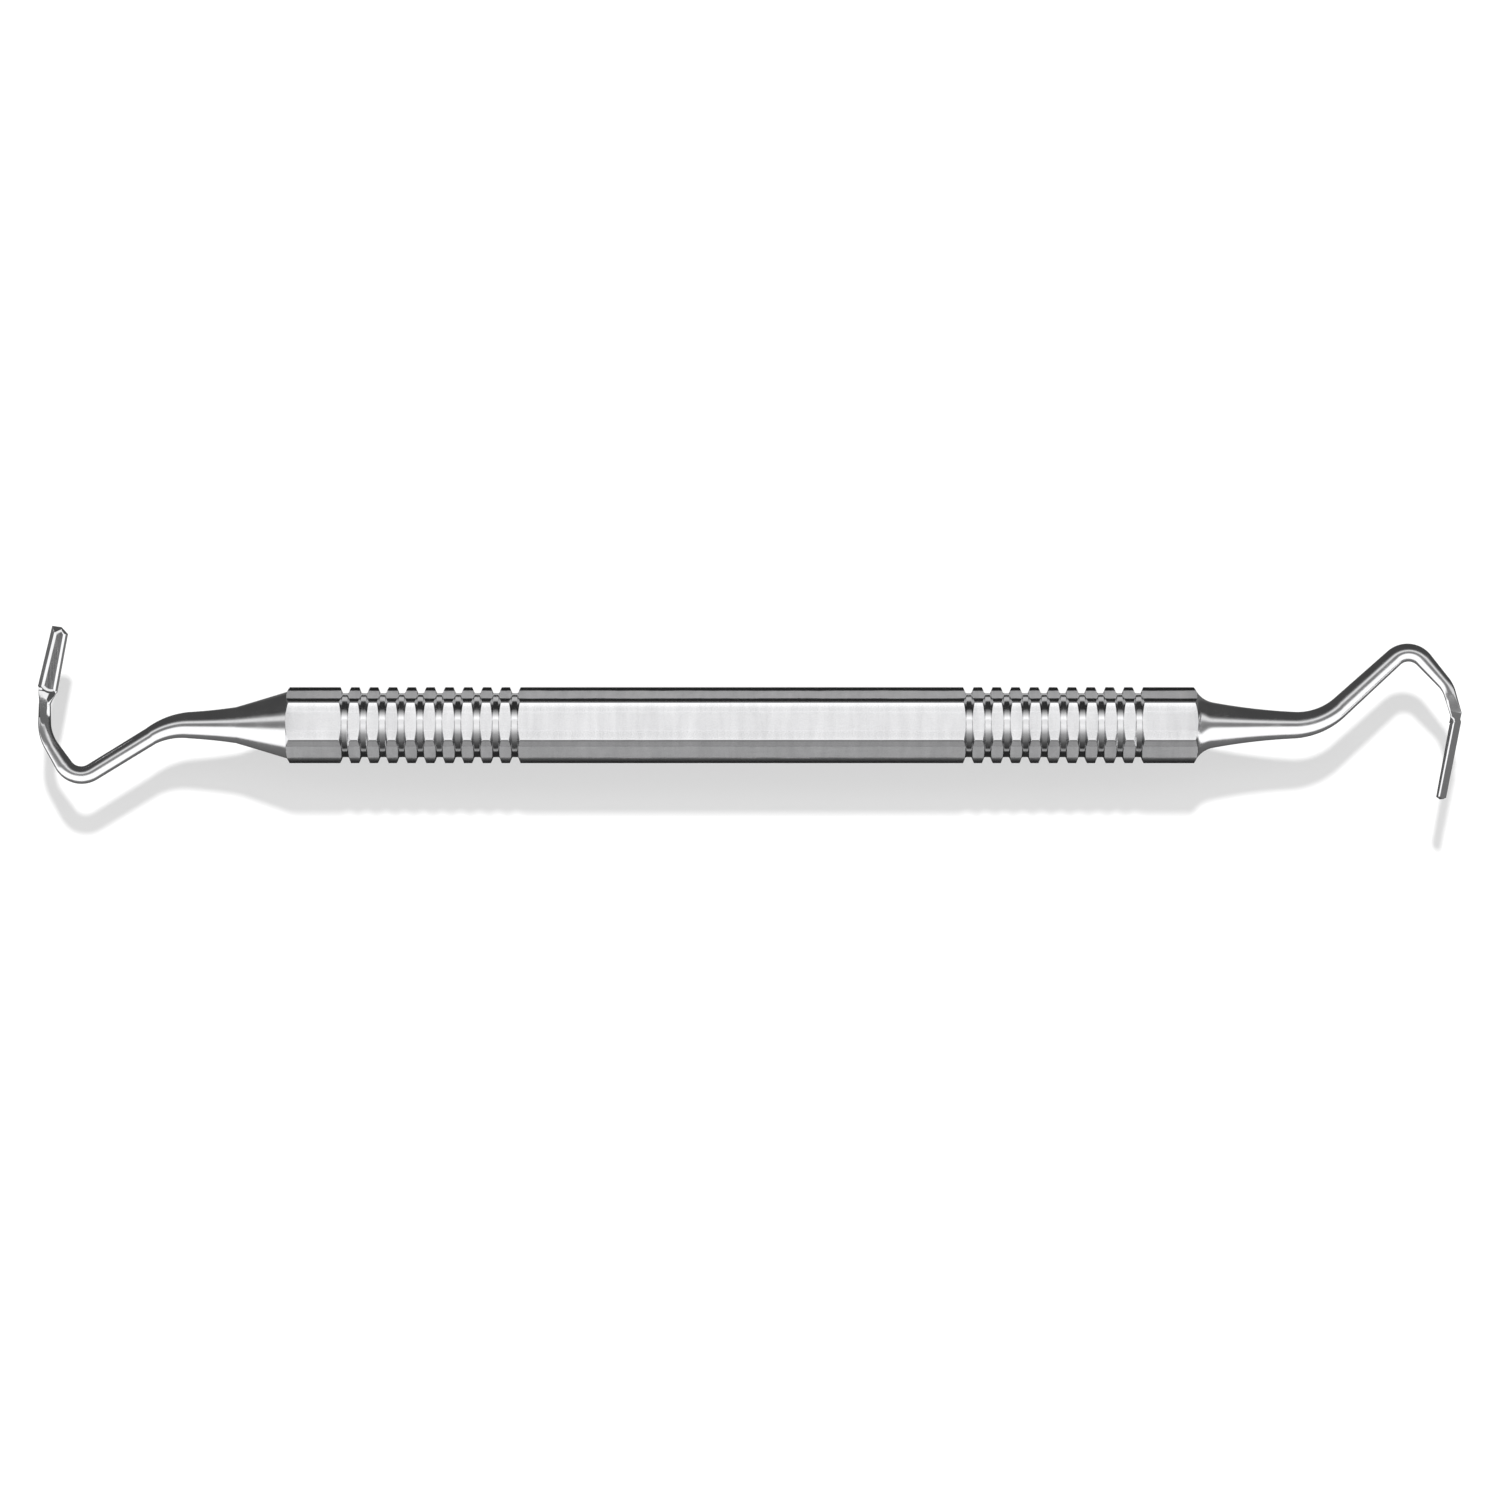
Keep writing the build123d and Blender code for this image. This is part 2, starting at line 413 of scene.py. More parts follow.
def mesh_object(name, points, faces, sharp_angle):
    """Closed mesh in metres with outward faces, smooth except at edges sharper than given."""
    mesh = bpy.data.meshes.new(name)
    mesh.from_pydata([tuple(p) for p in np.asarray(points) * MM], [], faces)
    sheet = bmesh.new()
    sheet.from_mesh(mesh)
    bmesh.ops.recalc_face_normals(sheet, faces=sheet.faces)
    sheet.to_mesh(mesh)
    sheet.free()
    made = bpy.data.objects.new(name, mesh)
    bpy.context.scene.collection.objects.link(made)
    smooth_but_creased(mesh, sharp_angle)
    return made


def smooth_but_creased(mesh, sharp_angle):
    """Smooth shading, broken at edges that are sharper than the given angle."""
    mesh.polygons.foreach_set("use_smooth", [True] * len(mesh.polygons))
    mesh.set_sharp_from_angle(angle=sharp_angle)


def paint(made, materials, chooser=None):
    """Gives an object its materials; chooser picks a face's material by its number."""
    made.data.materials.clear()
    for material in materials:
        made.data.materials.append(material)
    if chooser:
        for face in made.data.polygons:
            face.material_index = chooser(face)


def in_shared_frame(end, points):
    """From an end's own frame to the shared frame, in millimetres."""
    placed = np.array(points, float)
    placed[:, :2] *= end.outwards
    placed[:, 2] += AXIS_HEIGHT
    return placed


def arc_through(start, middle, finish, steps):
    """Points on the circular arc through three (x, radius) points, from start to finish."""
    (ax, ay), (bx, by), (cx, cy) = start, middle, finish
    twice_area = 2 * (ax * (by - cy) + bx * (cy - ay) + cx * (ay - by))
    a2, b2, c2 = ax * ax + ay * ay, bx * bx + by * by, cx * cx + cy * cy
    centre = np.array([
        (a2 * (by - cy) + b2 * (cy - ay) + c2 * (ay - by)) / twice_area,
        (a2 * (cx - bx) + b2 * (ax - cx) + c2 * (bx - ax)) / twice_area,
    ])
    first = np.arctan2(*(np.array(start) - centre)[::-1])
    last = np.arctan2(*(np.array(finish) - centre)[::-1])
    turn = (last - first + pi) % (2 * pi) - pi
    radius = np.hypot(*(np.array(start) - centre))
    angles = first + turn * np.linspace(0, 1, steps + 1)
    return [(centre[0] + radius * cos(a), centre[1] + radius * sin(a)) for a in angles]


# ------------------------------------------------------------------ handle


def hexagon_ring(x, radius):
    """Section of the handle at x: the rounded hexagon trimmed to a circle."""
    flat_half = LEAST_FLAT_ANGLE
    if radius > FLAT_RADIUS:
        flat_half = np.clip(acos(FLAT_RADIUS / radius), LEAST_FLAT_ANGLE, FLAT_HALF_ANGLE)
    on_flat = np.arctan(np.linspace(-1, 1, FLAT_STEPS + 1) * tan(flat_half))
    on_arc = np.linspace(flat_half, radians(60) - flat_half, ARC_STEPS + 1)[1:-1]
    sector = np.concatenate([on_flat, on_arc])
    from_edge = sector - radians(30)
    across_rounding = EDGE_ROUNDING ** 2 - (EDGE_CENTRE_RADIUS * np.sin(from_edge)) ** 2
    rounding = EDGE_CENTRE_RADIUS * np.cos(from_edge) + np.sqrt(np.maximum(across_rounding, 0))
    on_rounding = np.abs(sector - radians(30)) <= radians(30) - FLAT_HALF_ANGLE
    hexagon = np.where(on_rounding, rounding, FLAT_RADIUS / np.cos(sector))
    beyond_middle = sector > radians(30)
    next_flat = FLAT_RADIUS / np.cos(radians(60) - sector)
    hexagon = np.where(beyond_middle & ~on_rounding, next_flat, hexagon)
    reach = np.minimum(radius, hexagon)
    ring = []
    for number in range(6):
        angle = sector + radians(60) * number
        ring.append(np.stack([
            np.full(len(sector), x),
            reach * np.sin(angle),
            AXIS_HEIGHT + reach * np.cos(angle),
        ], axis=1))
    return np.concatenate(ring)


def groove_profile():
    """Half of a groove's (distance from its centre, radius) profile, from root to rim."""
    slope = tan(GROOVE_WALL_ANGLE)
    turn = pi / 2 - GROOVE_WALL_ANGLE
    start = GROOVE_ROOT_HALF - GROOVE_ROOT_FILLET * tan(turn / 2)
    profile = [(0.0, GROOVE_ROOT_RADIUS)]
    for step in range(FILLET_STEPS + 1):
        angle = turn * step / FILLET_STEPS
        profile.append((
            start + GROOVE_ROOT_FILLET * sin(angle),
            GROOVE_ROOT_RADIUS + GROOVE_ROOT_FILLET * (1 - cos(angle)),
        ))
    foot_x, foot_radius = profile[-1]
    rim_radius = EDGE_RADIUS - GROOVE_RIM_BREAK
    for step in range(1, WALL_STEPS + 1):
        radius = foot_radius + (rim_radius - foot_radius) * step / WALL_STEPS
        profile.append((foot_x + (radius - foot_radius) * slope, radius))
    rim_x = profile[-1][0]
    profile.append((rim_x + GROOVE_RIM_BREAK, EDGE_RADIUS))
    return profile


def groove_centres():
    """Stations of all the grooves, from the left grip's first to the right grip's last."""
    one_grip = [FIRST_GROOVE_FROM_MIDDLE + n * GROOVE_PITCH for n in range(GROOVES_PER_GRIP)]
    return [-x for x in reversed(one_grip)] + one_grip


def handle_profile():
    """(x, radius) all along the outside of the handle, from its left end to its right."""
    half = groove_profile()
    whole = [(-x, radius) for x, radius in reversed(half)] + half[1:]
    chamfer = [
        (HANDLE_END - (radius - END_FACE_RADIUS) * tan(END_CHAMFER_ANGLE), radius)
        for radius in np.linspace(END_FACE_RADIUS, EDGE_RADIUS, WALL_STEPS + 1)
    ]
    profile = [(-x, radius) for x, radius in chamfer]
    for centre in groove_centres():
        profile += spaced_run(profile[-1][0], centre + whole[0][0])
        profile += [(centre + x, radius) for x, radius in whole]
    profile += spaced_run(profile[-1][0], chamfer[-1][0])
    profile += reversed(chamfer)
    return profile


def spaced_run(start, finish):
    """Stations between two x values along a plain stretch, ends left out."""
    steps = max(2, round((finish - start) / PLAIN_STEP))
    return [(start + (finish - start) * n / steps, EDGE_RADIUS) for n in range(1, steps)]


def build_handle(materials):
    """Rings along the outside and back through the bore, satin on the flats only."""
    rings = [hexagon_ring(x, radius) for x, radius in handle_profile()]
    bore = [HANDLE_END, HANDLE_END / 2, 0, -HANDLE_END / 2, -HANDLE_END]
    rings += [hexagon_ring(x, BORE_RADIUS) for x in bore]
    points, faces = skin(rings, closed=True)
    made = mesh_object("handle_look", points, faces, HANDLE_CREASE)

    def satin_or_polished(face):
        away = np.array(face.center) / MM - (0, 0, AXIS_HEIGHT)
        along_flat_normals = [
            abs(face.normal.y * sin(radians(60) * n) + face.normal.z * cos(radians(60) * n))
            for n in range(3)
        ]
        flat = max(along_flat_normals) > cos(SATIN_NORMAL_TOLERANCE)
        outside = np.hypot(away[1], away[2]) > FLAT_RADIUS - SATIN_DEPTH_TOLERANCE
        return 0 if flat and outside else 1

    paint(made, materials, satin_or_polished)
    return made


# ------------------------------------------------------------------ ferrules


def round_ring(centre, direction, radius, roll=0.0, flatten=1.0, squareness=0.0):
    """Ring of points about a centreline that stays level, rolled about its direction.

    Flatten thins it, and squareness takes it from 0, an ellipse, towards 1, a rectangle.
    """
    centre = np.array(centre, float)
    direction = np.array(direction, float)
    side = np.cross((0, 0, 1), direction)
    up = np.array((0, 0, 1.0))
    wide = side * cos(roll) + up * sin(roll)
    thick = up * cos(roll) - side * sin(roll)
    angles = np.linspace(0, 2 * pi, ROUND_STEPS, endpoint=False)[:, None]
    across = np.sign(np.cos(angles)) * np.abs(np.cos(angles)) ** (1 - squareness)
    up_down = np.sign(np.sin(angles)) * np.abs(np.sin(angles)) ** (1 - squareness)
    return centre + radius * (across * wide + up_down * thick * flatten)


def build_ferrule(end, material):
    """Concave cone outside the handle and a bored spigot inside it."""
    spigot_end = HANDLE_END - SPIGOT_LENGTH
    mouth = (HANDLE_END, END_FACE_RADIUS)
    profile = arc_through(mouth, end.waist, (end.seam, end.seam_radius), HOLLOW_STEPS)
    profile += [
        (end.seam, TANG_RADIUS),
        (spigot_end, TANG_RADIUS),
        (spigot_end, BORE_RADIUS - SPIGOT_LEAD_IN),
        (spigot_end + SPIGOT_LEAD_IN, BORE_RADIUS),
        (HANDLE_END, BORE_RADIUS),
    ]
    rings = [round_ring((x, 0, 0), (1, 0, 0), radius) for x, radius in profile]
    points, faces = skin(rings, closed=True)
    name = end.name + "_ferrule_look"
    made = mesh_object(name, in_shared_frame(end, points), faces, ROUND_CREASE)
    paint(made, [material])
    return made


# ------------------------------------------------------------------ working ends


@dataclass
class Span:
    """A straight run of a centreline, or an arc if its turn isn't zero."""

    start: np.ndarray
    finish: np.ndarray
    before: np.ndarray  # direction at the start
    after: np.ndarray  # direction at the finish
    turn: float


def path_spans(end):
    """The bends and the runs after them, from the start of bend 1 to the knee."""
    corners = [np.array((x, y, 0.0)) for x, y in [(end.seam, 0)] + end.corners]
    directions = [b - a for a, b in zip(corners, corners[1:])]
    directions = [d / np.linalg.norm(d) for d in directions]
    spans = []
    for number, radius in enumerate(end.bend_radii):
        before, after = directions[number], directions[number + 1]
        turn = acos(np.clip(before @ after, -1, 1))
        setback = radius * tan(turn / 2)
        start = corners[number + 1] - before * setback
        finish = corners[number + 1] + after * setback
        if spans:
            spans.append(Span(spans[-1].finish, start, before, before, 0))
        spans.append(Span(start, finish, before, after, turn))
    last = directions[-1]
    spans.append(Span(spans[-1].finish, corners[-1], last, last, 0))
    return spans


def point_along(span, share):
    """Point and direction at a share of a span's length."""
    if span.turn == 0:
        return span.start + (span.finish - span.start) * share, span.before
    part = span.turn * share
    direction = (span.before * sin(span.turn - part) + span.after * sin(part)) / sin(span.turn)
    radius = np.linalg.norm(span.finish - span.start) / (2 * sin(span.turn / 2))
    inwards = (span.after - span.before * cos(span.turn)) / sin(span.turn)
    return span.start + radius * (span.before * sin(part) + inwards * (1 - cos(part))), direction


def bent_path(end):
    """Stations (point, direction, diameter) from the start of bend 1 to the knee."""
    spans = path_spans(end)
    stations = []
    for span, first, last in zip(spans, end.diameters, end.diameters[1:]):
        steps = max(2, round(np.linalg.norm(span.finish - span.start) / PATH_STEP))
        for step in range(steps):
            share = step / steps
            stations.append((*point_along(span, share), first + (last - first) * share))
    stations.append((*point_along(spans[-1], 1.0), end.diameters[-1]))
    return stations


def blade_directions(end):
    """Unit vectors along the blade, across it and out of its face, in the end's frame."""
    along = np.array((-sin(BLADE_LEAN), -cos(BLADE_LEAN), 0))
    to_handle = np.array((-cos(BLADE_LEAN), sin(BLADE_LEAN), 0))
    facing = np.array((0, 0, cos(end.face_turn))) + to_handle * sin(end.face_turn)
    return along, np.cross(along, facing), facing


def ground_flat(end, ring, centre, height):
    """Planes a ring down to a height above its centre, square to the flat's facing."""
    level = sin(end.flat_tilt)
    facing = np.array((
        level * cos(end.flat_heading),
        level * sin(end.flat_heading),
        cos(end.flat_tilt),
    ))
    above = (ring - centre) @ facing - height
    return ring - np.outer(np.maximum(above, 0), facing)


def shank_rings(end):
    """Rings from the tang's end over the seam and cone and round the bends to the knee."""
    tang_end = HANDLE_END - SPIGOT_LENGTH + TANG_SHORT_OF_SPIGOT
    stations = bent_path(end)
    bend_start = stations[0][0][0]
    profile = [
        (tang_end, TANG_RADIUS - TANG_LEAD_IN),
        (tang_end + TANG_LEAD_IN, TANG_RADIUS),
        (end.seam, TANG_RADIUS),
    ]
    cone_end = (bend_start, end.diameters[0] / 2)
    profile += arc_through((end.seam, end.seam_radius), end.cone, cone_end, HOLLOW_STEPS)
    rings = [round_ring((x, 0, 0), (1, 0, 0), radius) for x, radius in profile]
    for number, (point, direction, diameter) in enumerate(stations[1:], 1):
        roll = end.face_turn * number / (len(stations) - 1)
        ring = round_ring(point, direction, diameter / 2, roll)
        left_to_go = np.linalg.norm(stations[-1][0] - point)
        ground = sin(np.clip(1 - left_to_go / FLAT_LENGTH, 0, 1) * pi / 2)
        rings.append(ground_flat(end, ring, point, diameter / 2 - end.flat_depth * ground))
    return rings, stations[-1]


def neck_rings(end, knee_station):
    """Rings that widen and flatten from the knee to an oval inside the blade's root."""
    along, _, facing = blade_directions(end)
    knee, direction, diameter = knee_station
    length = end.neck_length + NECK_INTO_BLADE
    end_thickness, end_drop = end.neck_end
    rings = []
    for step in range(1, NECK_STEPS + 1):
        share = step / NECK_STEPS
        eased = share * share * (3 - 2 * share)
        heading = direction * (1 - eased) + along * eased
        heading /= np.linalg.norm(heading)
        width = diameter + (NECK_END_WIDTH - diameter) * eased
        thin = sin(min(share / NECK_THIN_BY, 1) * pi / 2) ** 2
        thickness = diameter + (end_thickness - diameter) * thin
        centre = knee + along * length * share - facing * end_drop * eased
        squareness = NECK_END_SQUARENESS * eased
        ring = round_ring(centre, heading, width / 2, end.face_turn, thickness / width, squareness)
        height = diameter / 2 - end.flat_depth + end.flat_rise * eased
        rings.append(ground_flat(end, ring, centre, height))
    return rings


def blade_outline(end, level):
    """Outline at one level, in blade axes: a curved root and a three-cornered tip."""
    root_half = BLADE_ROOT_WIDTH / 2 - level.inset
    tip_half = BLADE_TIP_WIDTH / 2 - level.inset
    left, middle, right = level.roots[::end.blade_hand]
    height = level.height - BLADE_THICKNESS / 2
    outline = []
    for step in range(ROOT_CURVE_STEPS + 1):
        share = 2 * step / ROOT_CURVE_STEPS - 1
        bow = middle * (1 - share * share)
        root = bow + left * share * (share - 1) / 2 + right * share * (share + 1) / 2
        outline.append((root_half * share, root, height))
    apex = TIP_APEX_OFFSET * end.blade_hand
    tips = zip((tip_half, apex, -tip_half), level.cuts[::-end.blade_hand])
    outline += [(x, end.blade_length - cut * end.tip_point, height) for x, cut in tips]
    return np.array(outline)


def between(first, second, share):
    return first + (second - first) * share


def blade_levels():
    """The back and the wall's top, then a bevel that curves over into the table."""
    back, wall_top, table = BLADE_LEVELS
    levels = [back, wall_top]
    whole_run = sin(BEVEL_START_ANGLE) - sin(BEVEL_FINISH_ANGLE)
    whole_rise = cos(BEVEL_FINISH_ANGLE) - cos(BEVEL_START_ANGLE)
    for angle in np.linspace(BEVEL_START_ANGLE, BEVEL_FINISH_ANGLE, BEVEL_STEPS + 1)[1:]:
        inwards = (sin(BEVEL_START_ANGLE) - sin(angle)) / whole_run
        upwards = (cos(angle) - cos(BEVEL_START_ANGLE)) / whole_rise
        levels.append(BladeLevel(
            height=between(wall_top.height, table.height, upwards),
            inset=between(wall_top.inset, table.inset, inwards),
            roots=tuple(between(a, b, inwards) for a, b in zip(wall_top.roots, table.roots)),
            cuts=tuple(between(a, b, inwards) for a, b in zip(wall_top.cuts, table.cuts)),
        ))
    return levels


def blade_mesh(end, shoulder):
    """Closed blade: flat back, sloping walls, a rounded bevel and the flat table."""
    along, across, facing = blade_directions(end)
    rings = []
    for level in blade_levels():
        u, w, h = blade_outline(end, level).T
        rings.append(shoulder + u[:, None] * across + w[:, None] * along + h[:, None] * facing)
    return skin(rings, closed=False)


def break_edges(made, offset, sharp_angle):
    """Rounds every edge that is sharper than the given angle."""
    sheet = bmesh.new()
    sheet.from_mesh(made.data)
    sharp = [e for e in sheet.edges if e.calc_face_angle(0) > sharp_angle]
    bmesh.ops.bevel(sheet, geom=sharp, offset=offset * MM, segments=2, affect="EDGES", profile=0.5)
    sheet.to_mesh(made.data)
    sheet.free()


def join_solids(first, second):
    """Makes one closed skin of two overlapping solids; the second object goes."""
    union = first.modifiers.new("union", "BOOLEAN")
    union.operation = "UNION"
    union.solver = "MANIFOLD"
    union.object = second
    evaluated = first.evaluated_get(bpy.context.evaluated_depsgraph_get())
    joined = bpy.data.meshes.new_from_object(evaluated)
    first.modifiers.clear()
    first.data = joined
    bpy.data.objects.remove(second)
    return first


def build_working_end(end, materials):
    """Shank and blade as one skin, polished all over except on the blade's ground table."""
    rings, knee_station = shank_rings(end)
    rings += neck_rings(end, knee_station)
    points, faces = skin(rings, closed=False)
    name = end.name + "_working_end_look"
    shank = mesh_object(name, in_shared_frame(end, points), faces, SHANK_CREASE)
    along, _, facing = blade_directions(end)
    shoulder = knee_station[0] + along * end.neck_length
    points, faces = blade_mesh(end, shoulder)
    blade = mesh_object("blade", in_shared_frame(end, points), faces, SHANK_CREASE)
    break_edges(blade, BLADE_EDGE_BREAK, SHARP_BLADE_EDGE)
    made = join_solids(shank, blade)
    smooth_but_creased(made.data, FACET_CREASE)
    table_normal = Vector((facing[0] * end.outwards, facing[1] * end.outwards, facing[2]))

    def polished_or_ground(face):
        level = face.normal.dot(table_normal) > cos(TABLE_NORMAL_TOLERANCE)
        return 1 if level and face.area > TABLE_LEAST_AREA else 0

    paint(made, materials, polished_or_ground)
    return made


# ------------------------------------------------------------------ materials


def new_material(name, metallic, colour):
    """New material, its node tree and its main shader."""
    material = bpy.data.materials.new(name)
    material.use_nodes = True
    shader = material.node_tree.nodes["Principled BSDF"]
    shader.inputs["Metallic"].default_value = metallic
    shader.inputs["Base Color"].default_value = (*colour, 1)
    return material, material.node_tree, shader


def node(tree, kind, **settings):
    """New node; a setting is the value of the input with its name, or else a property."""
    made = tree.nodes.new(kind)
    for key, value in settings.items():
        if key in made.inputs:
            made.inputs[key].default_value = value
        else:
            setattr(made, key, value)
    return made


def maths(tree, operation, first, second=None):
    """Result of an arithmetic operation on one or two sockets."""
    made = node(tree, "ShaderNodeMath", operation=operation)
    tree.links.new(first, made.inputs[0])
    if second is not None:
        tree.links.new(second, made.inputs[1])
    return made.outputs[0]


def stretched_noise(tree, frequencies, detail):
    """Noise in object space, with its own frequency along each axis."""
    coordinates = node(tree, "ShaderNodeTexCoord")
    mapping = node(tree, "ShaderNodeMapping")
    mapping.inputs["Scale"].default_value = frequencies
    noise = node(tree, "ShaderNodeTexNoise", Scale=1.0, Detail=detail)
    tree.links.new(coordinates.outputs["Object"], mapping.inputs["Vector"])
    tree.links.new(mapping.outputs["Vector"], noise.inputs["Vector"])
    return noise.outputs["Fac"]


def ranged(tree, value, low, high):
    """Rescales the middle part of a noise value to run from low to high."""
    mapped = node(tree, "ShaderNodeMapRange")
    mapped.inputs["From Min"].default_value = NOISE_LOW
    mapped.inputs["From Max"].default_value = NOISE_HIGH
    mapped.inputs["To Min"].default_value = low
    mapped.inputs["To Max"].default_value = high
    tree.links.new(value, mapped.inputs["Value"])
    return mapped.outputs["Result"]


def tint(tree, shader, value, dark, light):
    """Colours a surface from dark to light with a noise value."""
    ramp = node(tree, "ShaderNodeValToRGB")
    ramp.color_ramp.elements[0].position = NOISE_LOW
    ramp.color_ramp.elements[0].color = (*dark, 1)
    ramp.color_ramp.elements[1].position = NOISE_HIGH
    ramp.color_ramp.elements[1].color = (*light, 1)
    tree.links.new(value, ramp.inputs["Fac"])
    tree.links.new(ramp.outputs["Color"], shader.inputs["Base Color"])


def add_bump(tree, shader, height, strength, distance):
    """Bump from a noise value, for marks too fine to model."""
    bump = node(tree, "ShaderNodeBump", Strength=strength, Distance=distance)
    tree.links.new(height, bump.inputs["Height"])
    tree.links.new(bump.outputs["Normal"], shader.inputs["Normal"])


def rubbed_border(tree):
    """0 in the middle of each of the hexagon's flats, 1 in the borders along its edges."""
    coordinates = node(tree, "ShaderNodeTexCoord")
    about_axis = node(tree, "ShaderNodeMapping")
    about_axis.inputs["Location"].default_value = (0, 0, -AXIS_HEIGHT * MM)
    parts = node(tree, "ShaderNodeSeparateXYZ")
    tree.links.new(coordinates.outputs["Object"], about_axis.inputs["Vector"])
    tree.links.new(about_axis.outputs["Vector"], parts.inputs[0])
    angle = maths(tree, "ARCTAN2", parts.outputs["Y"], parts.outputs["Z"])
    off_middle = node(tree, "ShaderNodeMath", operation="PINGPONG")
    off_middle.inputs[1].default_value = radians(30)
    tree.links.new(angle, off_middle.inputs[0])
    wander = stretched_noise(tree, BORDER_WAVES, detail=3.0)
    uneven = ranged(tree, wander, -BORDER_WANDER, BORDER_WANDER)
    border = node(tree, "ShaderNodeMapRange", interpolation_type="SMOOTHSTEP")
    border.inputs["From Min"].default_value = np.arctan(SATIN_HALF_WIDTH / FLAT_RADIUS)
    border.inputs["From Max"].default_value = np.arctan(POLISHED_FROM / FLAT_RADIUS)
    shifted = maths(tree, "ADD", off_middle.outputs[0], uneven)
    tree.links.new(shifted, border.inputs["Value"])
    return border.outputs["Result"]


def blend(tree, share, first, second):
    """Number that goes from the first, a value or a socket, to the second with the share."""
    mixed = node(tree, "ShaderNodeMapRange")
    for socket, value in (("To Min", first), ("To Max", second)):
        if isinstance(value, (int, float)):
            mixed.inputs[socket].default_value = value
        else:
            tree.links.new(value, mixed.inputs[socket])
    tree.links.new(share, mixed.inputs["Value"])
    return mixed.outputs["Result"]


def satin_material():
    """Flats of the handle: blasted and cross-brushed, rubbed bright along their edges."""
    material, tree, shader = new_material("satin_handle_steel", SATIN_METALLIC, STEEL)
    border = rubbed_border(tree)
    streaks = stretched_noise(tree, SATIN_STREAKS, detail=3.0)
    grain = stretched_noise(tree, SATIN_GRAIN, detail=2.0)
    specks = stretched_noise(tree, SATIN_SPECKS, detail=2.0)
    mottle = maths(tree, "ADD", streaks, specks)
    halved = node(tree, "ShaderNodeMath", operation="MULTIPLY")
    halved.inputs[1].default_value = 0.5
    tree.links.new(mottle, halved.inputs[0])
    tint(tree, shader, halved.outputs[0], *SATIN_TINTS)
    rough = ranged(tree, grain, *SATIN_ROUGHNESS)
    tree.links.new(blend(tree, border, rough, RUBBED_ROUGHNESS), shader.inputs["Roughness"])
    tree.links.new(blend(tree, border, SATIN_METALLIC, 1.0), shader.inputs["Metallic"])
    add_bump(tree, shader, streaks, *SATIN_BUMP)
    return material


def polished_material(name, lines, scratches):
    """Bright steel with fine machining lines, rubbed patches and hairline scratches."""
    material, tree, shader = new_material(name, 1.0, STEEL)
    turning = stretched_noise(tree, lines, detail=2.0)
    patches = stretched_noise(tree, RUBBED_PATCHES, detail=3.0)
    hairlines = stretched_noise(tree, scratches, detail=4.0)
    both = maths(tree, "MULTIPLY", patches, hairlines)
    tint(tree, shader, patches, *POLISHED_TINTS)
    rough = node(tree, "ShaderNodeMapRange")
    rough.inputs["From Min"].default_value = SCRATCHED_FROM
    rough.inputs["From Max"].default_value = SCRATCHED_FULLY
    smoothest, roughest = POLISHED_ROUGHNESS
    rough.inputs["To Min"].default_value = smoothest
    rough.inputs["To Max"].default_value = roughest
    tree.links.new(both, rough.inputs["Value"])
    tree.links.new(rough.outputs["Result"], shader.inputs["Roughness"])
    add_bump(tree, shader, turning, *TURNING_BUMP)
    return material


def ground_material():
    """The blade's table, ground along its length."""
    material, tree, shader = new_material("ground_steel", 1.0, GROUND_STEEL)
    streaks = stretched_noise(tree, GRINDING_LINES, detail=2.0)
    tint(tree, shader, streaks, *GROUND_TINTS)
    tree.links.new(ranged(tree, streaks, *GROUND_ROUGHNESS), shader.inputs["Roughness"])
    add_bump(tree, shader, streaks, *GRINDING_BUMP)
    return material


# ------------------------------------------------------------------ studio


def bands_by_angle(tree, angle, bands):
    """Grey value looked up by an angle in a table of (degrees, brightness)."""
    lowest, highest = radians(bands[0][0]), radians(bands[-1][0])
    mapped = node(tree, "ShaderNodeMapRange")
    mapped.inputs["From Min"].default_value = lowest
    mapped.inputs["From Max"].default_value = highest
    ramp = node(tree, "ShaderNodeValToRGB")
    elements = ramp.color_ramp.elements
    while len(elements) < len(bands):
        elements.new(0.5)
    for element, (degrees, value) in zip(elements, bands):
        element.position = (radians(degrees) - lowest) / (highest - lowest)
        element.color = (value, value, value, 1)
    tree.links.new(angle, mapped.inputs["Value"])
    tree.links.new(mapped.outputs["Result"], ramp.inputs["Fac"])
    return ramp.outputs["Color"]


def build_world():
    """Banded sky. Far to either side a ray counts as going straight up."""
    world = bpy.data.worlds.new("studio")
    bpy.context.scene.world = world
    world.use_nodes = True
    tree = world.node_tree
    coordinates = node(tree, "ShaderNodeTexCoord")
    parts = node(tree, "ShaderNodeSeparateXYZ")
    tree.links.new(coordinates.outputs["Generated"], parts.inputs[0])
    sideways = maths(tree, "MULTIPLY", parts.outputs["X"], parts.outputs["X"])
    far_sideways = maths(tree, "MULTIPLY", sideways, sideways)
    height = maths(tree, "ADD", parts.outputs["Z"], far_sideways)
    angle = maths(tree, "ARCTAN2", parts.outputs["Y"], height)
    bands = bands_by_angle(tree, angle, FRONT_TO_BACK_BANDS)
    tree.links.new(bands, tree.nodes["Background"].inputs["Color"])


